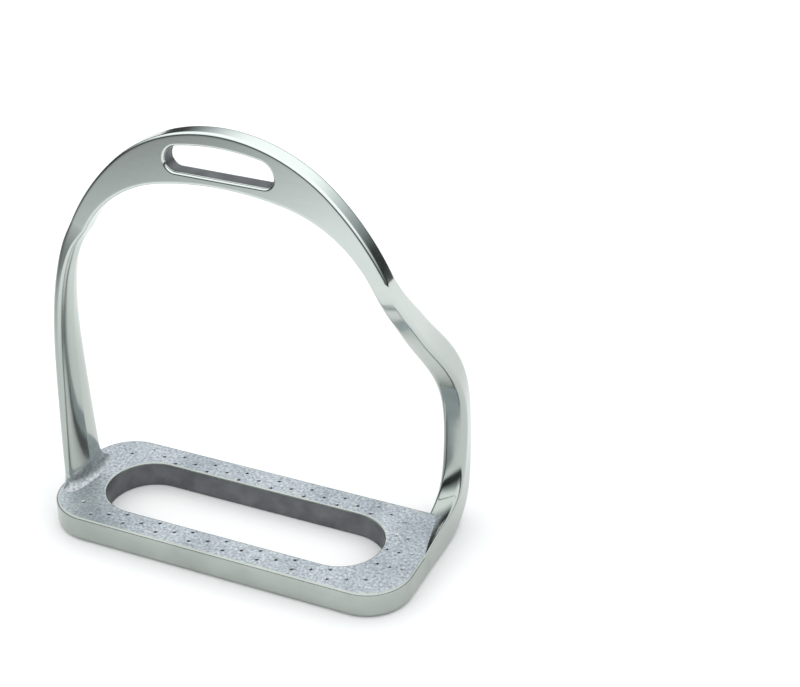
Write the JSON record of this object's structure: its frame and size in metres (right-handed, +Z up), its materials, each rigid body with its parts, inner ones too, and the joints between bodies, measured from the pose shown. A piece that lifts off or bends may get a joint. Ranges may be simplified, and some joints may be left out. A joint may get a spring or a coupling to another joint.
{
  "type": "stirrup iron",
  "caption": "Bent-leg safety stirrup iron: slotted tread plate, one straight branch, one branch bowed outward, and an arched bow with a slot for the stirrup leather.",
  "frame": {"origin": "centre of the tread plate's slot, on the plane of the tread plate's underside", "axes": "+Z up to the leather eye; +X along the tread plate toward the bent branch; +Y the side toward which the bent branch bows"},
  "size_m": [0.1366, 0.0732, 0.1532],
  "materials": {
    "polished_steel": "cast stainless steel, mirror polished",
    "satin_tread_steel": "cast stainless steel, blasted satin tread with punched grip marks, polished rim"
  },
  "bodies": {
    "root": {"bow": "polished_steel", "straight_branch": "polished_steel", "bent_branch": "polished_steel", "tread_plate": "satin_tread_steel"}
  },
  "joints": []
}
